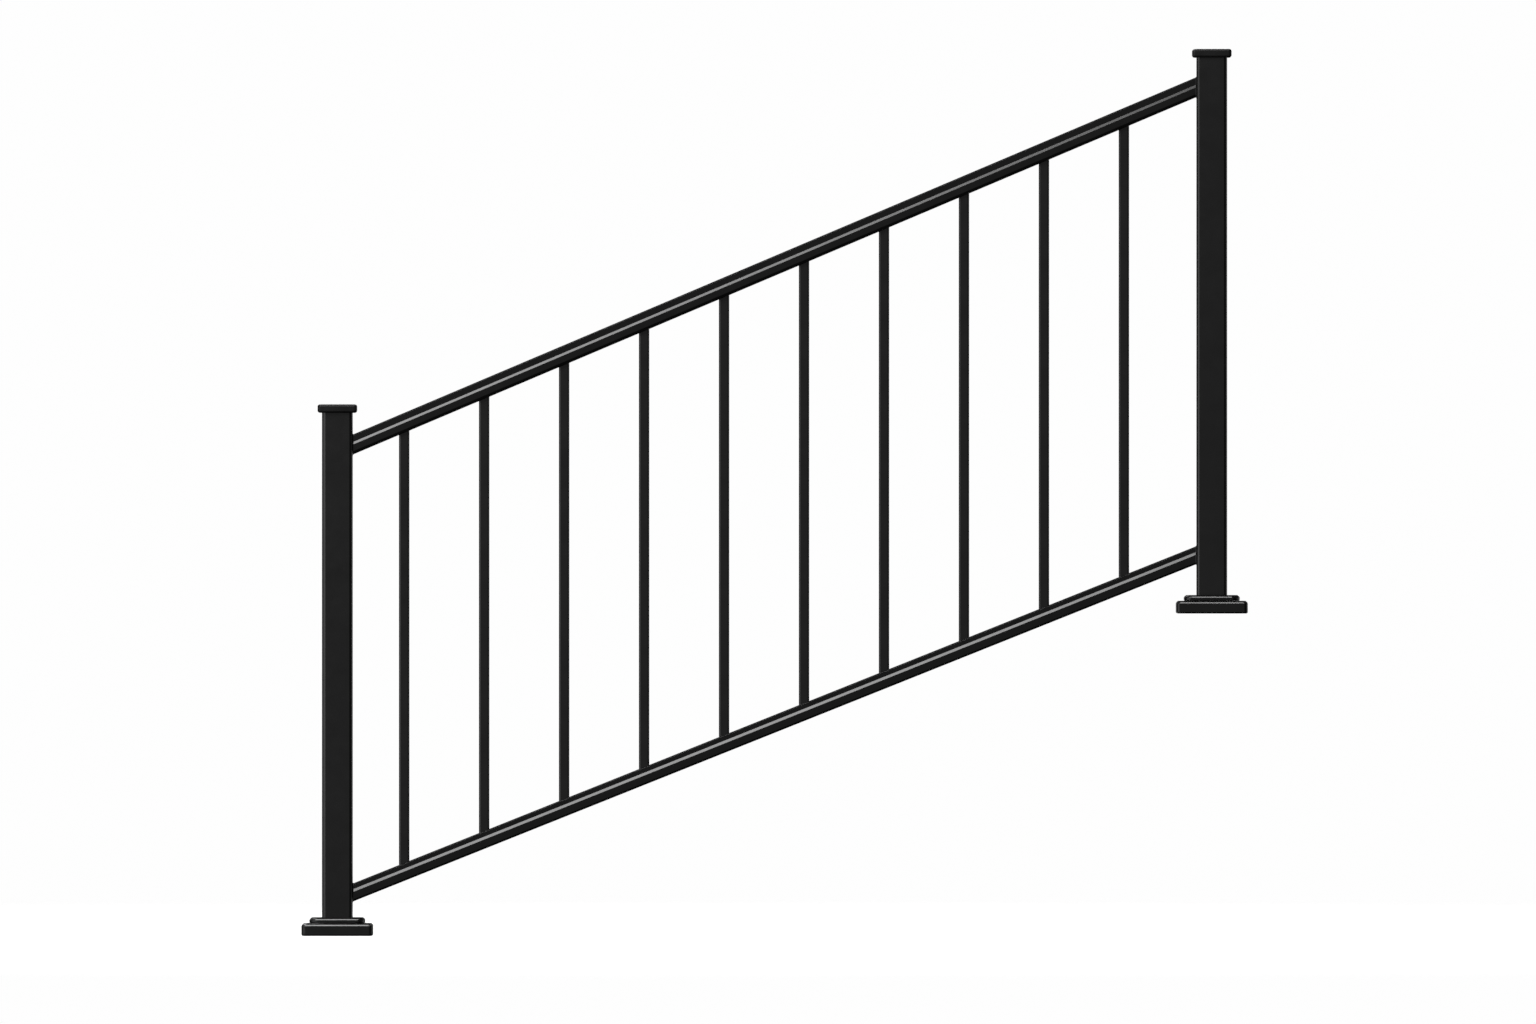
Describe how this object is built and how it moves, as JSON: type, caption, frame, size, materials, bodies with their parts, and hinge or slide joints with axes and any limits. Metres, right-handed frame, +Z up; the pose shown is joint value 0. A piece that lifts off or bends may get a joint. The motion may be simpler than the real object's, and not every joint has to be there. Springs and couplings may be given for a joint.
{
  "type": "raked stair railing panel",
  "caption": "Raked railing panel for the open side of a stair: square posts on bolted, covered feet carry sloping hollow rails filled with upright square balusters.",
  "frame": {"origin": "middle of the low post's base plate, on its underside", "axes": "+X level, up the flight towards the high post; +Y across the panel; +Z up"},
  "size_m": [1.5711, 0.1186, 1.4728],
  "materials": {
    "frame_coat": "satin",
    "trim_coat": "satin",
    "plate_coat": "satin"
  },
  "bodies": {
    "root": {"low_post": "frame_coat", "high_post": "frame_coat", "top_rail": "frame_coat", "bottom_rail": "frame_coat", "baluster_01": "frame_coat", "baluster_02": "frame_coat", "baluster_03": "frame_coat", "baluster_04": "frame_coat", "baluster_05": "frame_coat", "baluster_06": "frame_coat", "baluster_07": "frame_coat", "baluster_08": "frame_coat", "baluster_09": "frame_coat", "baluster_10": "frame_coat", "low_post_cap": "trim_coat", "high_post_cap": "trim_coat", "low_base_cover": "trim_coat", "high_base_cover": "trim_coat", "low_base_plate": "plate_coat", "high_base_plate": "plate_coat"}
  },
  "joints": []
}
